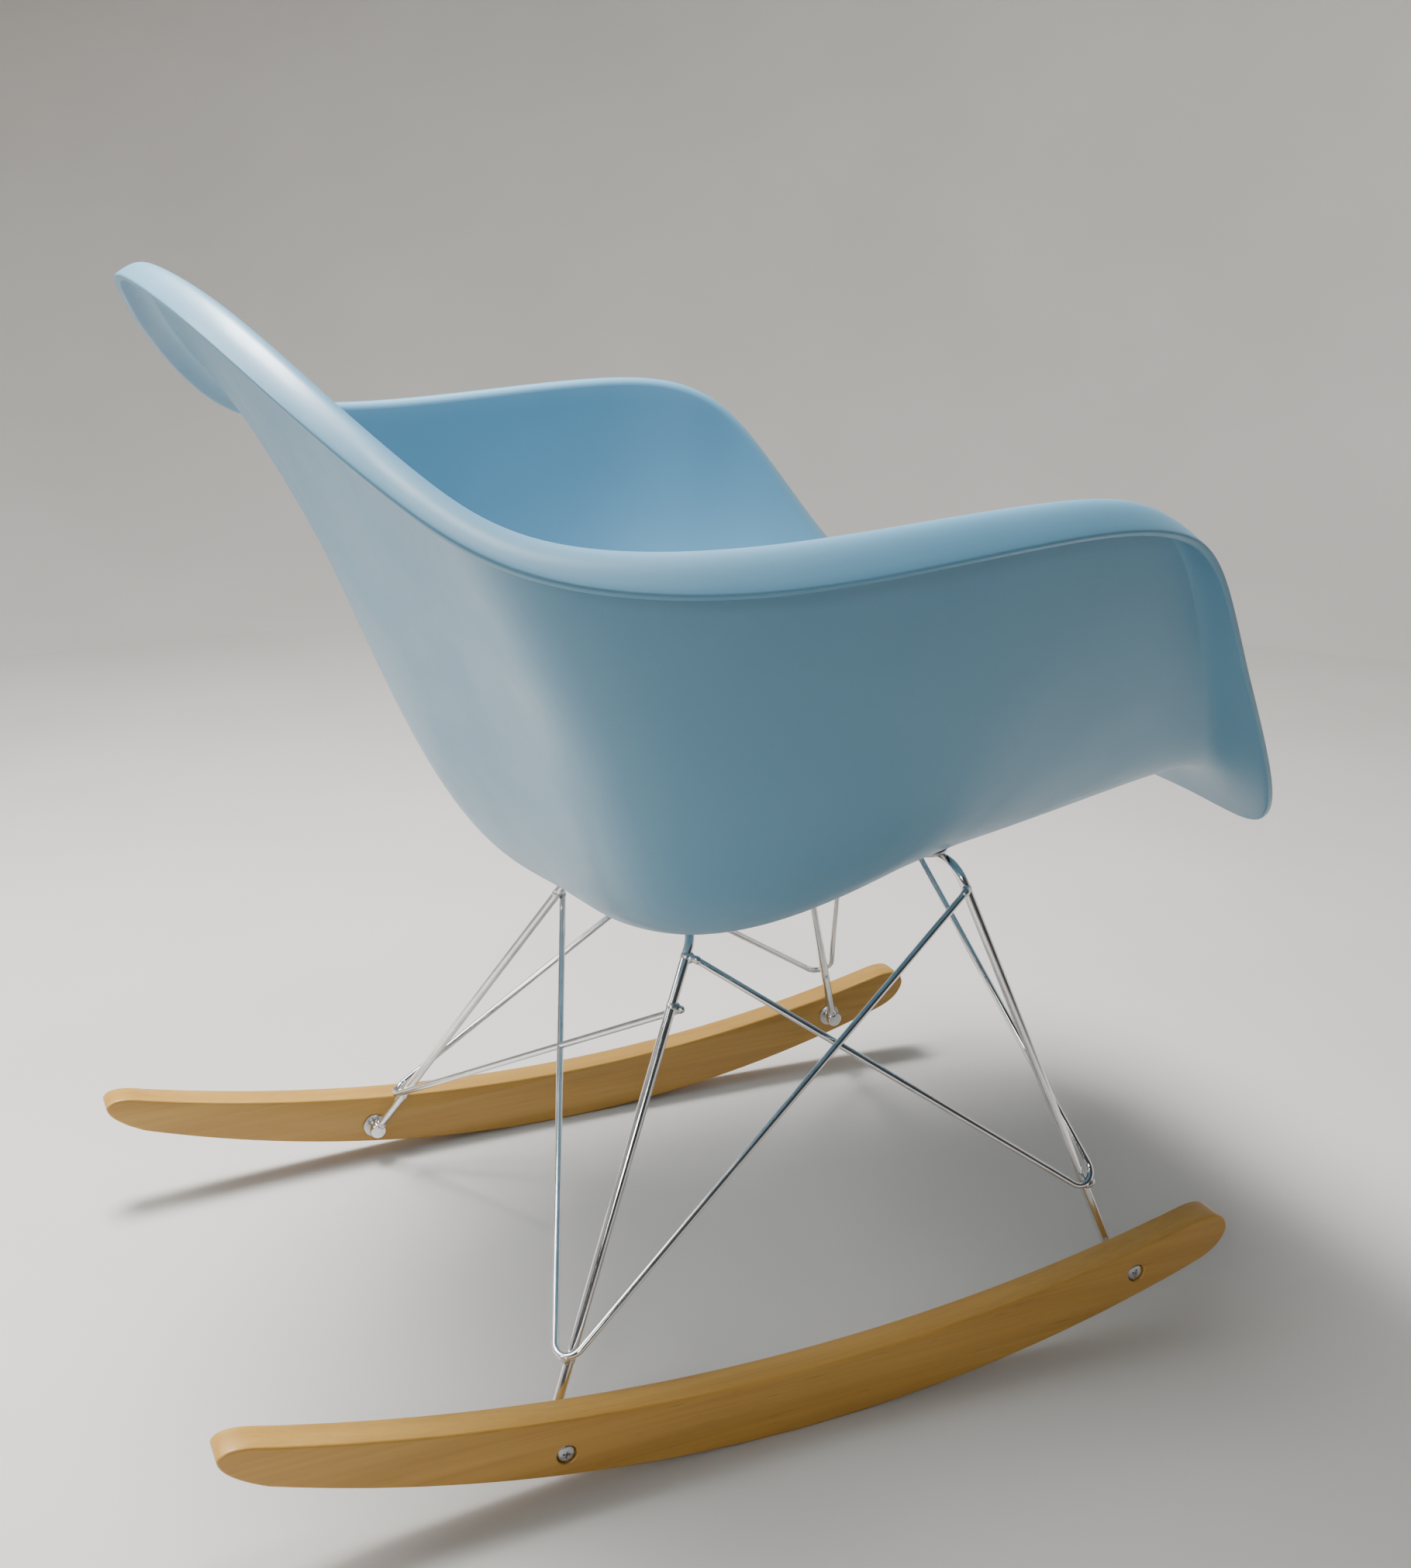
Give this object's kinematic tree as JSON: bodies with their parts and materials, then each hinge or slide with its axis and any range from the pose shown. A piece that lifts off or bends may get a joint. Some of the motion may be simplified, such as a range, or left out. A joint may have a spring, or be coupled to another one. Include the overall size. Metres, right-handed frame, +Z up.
{
  "type": "rocking chair",
  "caption": "Rocking armchair with a moulded plastic bucket shell on a welded chromed rod base and curved wooden rockers; it rolls on the floor as one body.",
  "frame": {"origin": "on the floor, under the middle of the chair's overall box", "axes": "+X forward, the way the sitter faces; +Y the sitter's left; +Z up"},
  "size_m": [0.6702, 0.656, 0.6613],
  "materials": {
    "shell_plastic": "satin, light blue, fine moulded texture",
    "mount_rubber": "matte black",
    "fitting_steel": "zinc plated, satin",
    "rod_chrome": "bright chrome",
    "foot_chrome": "bright chrome",
    "rocker_wood": "clear satin lacquer on golden maple"
  },
  "bodies": {
    "root": {"seat_shell": "shell_plastic", "shock_mount_rear_left": "mount_rubber", "mount_plate_rear_left": "fitting_steel", "mount_screw_rear_left": "fitting_steel", "shock_mount_rear_right": "mount_rubber", "mount_plate_rear_right": "fitting_steel", "mount_screw_rear_right": "fitting_steel", "shock_mount_front_left": "mount_rubber", "mount_plate_front_left": "fitting_steel", "mount_screw_front_left": "fitting_steel", "shock_mount_front_right": "mount_rubber", "mount_plate_front_right": "fitting_steel", "mount_screw_front_right": "fitting_steel", "rear_leg_rod": "rod_chrome", "front_leg_rod": "rod_chrome", "rear_brace_left": "rod_chrome", "rear_brace_right": "rod_chrome", "front_brace_left": "rod_chrome", "front_brace_right": "rod_chrome", "rocker_left": "rocker_wood", "rocker_right": "rocker_wood", "bolt_rear_left": "fitting_steel", "washer_rear_left": "fitting_steel", "foot_rear_left": "foot_chrome", "bolt_rear_right": "fitting_steel", "washer_rear_right": "fitting_steel", "foot_rear_right": "foot_chrome", "bolt_front_left": "fitting_steel", "washer_front_left": "fitting_steel", "foot_front_left": "foot_chrome", "bolt_front_right": "fitting_steel", "washer_front_right": "fitting_steel", "foot_front_right": "foot_chrome"}
  },
  "joints": []
}
